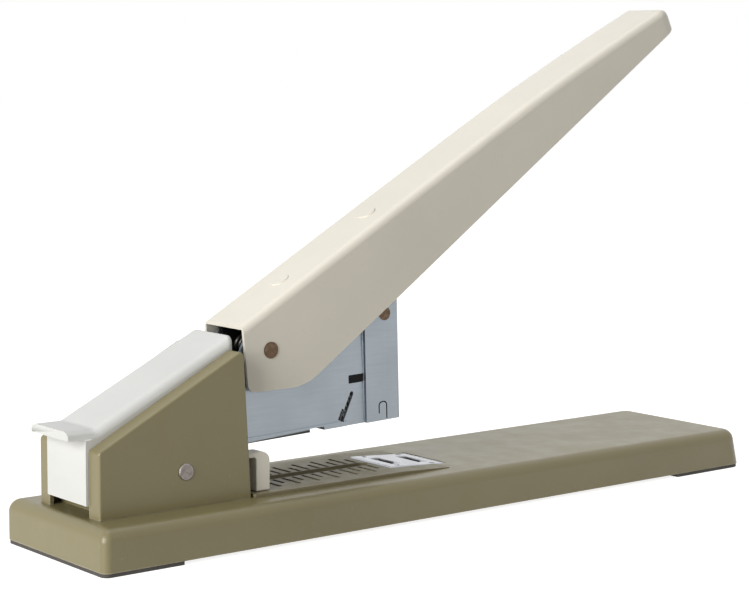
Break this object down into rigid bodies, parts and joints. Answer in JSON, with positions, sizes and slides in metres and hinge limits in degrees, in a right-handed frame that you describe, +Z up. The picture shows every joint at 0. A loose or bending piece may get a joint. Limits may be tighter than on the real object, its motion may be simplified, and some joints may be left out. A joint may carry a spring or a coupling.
{
  "type": "stapler",
  "caption": "Heavy-duty long-reach desk stapler: long pan base with a scaled throat and anvil, knee-shaped tower, tilting steel magazine and a raised trough handle that drives the staple",
  "frame": {"origin": "middle of the base's footprint, on the table", "axes": "+Z up, +X from the tower to the handle's tip, Y across"},
  "size_m": [0.281, 0.0588, 0.1706],
  "materials": {
    "base_paint": "satin olive-beige baked enamel",
    "pad_plastic": "dark grey matte foot pads",
    "zinc_steel": "plain zinc-plated sheet",
    "bright_steel": "polished rivet and rod steel",
    "spring_steel": "oiled spring wire and strip",
    "dark_steel": "bronzed rivet heads",
    "black_rubber": "matte black",
    "scale_plate": "darker satin enamel with dark tick grooves",
    "chrome_anvil": "polished hardened anvil",
    "guide_plastic": "ivory moulded plastic",
    "magazine_steel": "fine brushed bluish steel",
    "staple_wire": "bright glued staple wire",
    "black_plastic": "black moulded plastic",
    "cover_plastic": "white moulded plastic",
    "handle_paint": "smooth cream baked enamel"
  },
  "bodies": {
    "base": {"base_shell": "base_paint", "rear_foot": "pad_plastic", "front_foot": "pad_plastic", "base_stiffener": "zinc_steel", "tower_bracket": "base_paint", "tower_rivets": "zinc_steel", "tower_pivot_pin": "bright_steel", "pivot_spacers": "zinc_steel", "tail_bumper": "black_rubber", "throat_plate": "scale_plate", "anvil_block": "chrome_anvil", "anvil_tray": "zinc_steel", "anvil_rivets": "dark_steel", "tilt_springs": "spring_steel"},
    "guide": {"paper_guide": "guide_plastic", "guide_shoe": "spring_steel", "guide_screw": "bright_steel"},
    "magazine": {"magazine_channel": "magazine_steel", "head_casing": "magazine_steel", "casing_rivets": "dark_steel", "staple_rail": "zinc_steel", "rail_feet": "zinc_steel", "staple_strip": "staple_wire", "latch_leaves": "spring_steel", "latch_blocks": "black_plastic"},
    "drawer": {"rear_cover": "cover_plastic", "drawer_rod": "bright_steel", "drawer_slide_frame": "zinc_steel"},
    "pusher": {"staple_pusher": "black_plastic", "pusher_spring": "spring_steel"},
    "driver": {"driver_carrier": "zinc_steel", "driver_blade": "bright_steel"},
    "handle": {"handle_shell": "handle_paint", "handle_pivot_pin": "dark_steel", "handle_lever": "zinc_steel", "driver_pin": "bright_steel", "handle_spring": "spring_steel"}
  },
  "joints": [
    {"name": "magazine_tilt", "type": "hinge", "parent": "base", "child": "magazine", "pos_m": [-0.1036, 0, 0.0256], "axis": [0, 1, 0], "range_deg": [0, 9.6], "stiffness_Nm_per_rad": 1.5, "springref_deg": -14.32},
    {"name": "handle_press", "type": "hinge", "parent": "magazine", "child": "handle", "pos_m": [-0.06676, 0, 0.05941], "axis": [0, 1, 0], "range_deg": [0, 24.8], "stiffness_Nm_per_rad": 0.4, "springref_deg": -34.38},
    {"name": "driver_stroke", "type": "slide", "parent": "magazine", "child": "driver", "axis": [0.0349, 0, -0.9994], "range_m": [0, 0.0189]},
    {"name": "drawer_pull", "type": "slide", "parent": "magazine", "child": "drawer", "axis": [-0.9994, 0, -0.0349], "range_m": [0, 0.07]},
    {"name": "pusher_travel", "type": "slide", "parent": "drawer", "child": "pusher", "axis": [-0.9994, 0, -0.0349], "range_m": [0, 0.03], "stiffness_N_per_m": 50, "springref_m": -0.02, "deforming": ["pusher_spring"]},
    {"name": "guide_slide", "type": "slide", "parent": "base", "child": "guide", "axis": [1, 0, 0], "range_m": [0, 0.048]}
  ],
  "couplings": [
    {"joint": "driver_stroke", "follows": "handle_press", "m_per_rad": 0.0436}
  ]
}
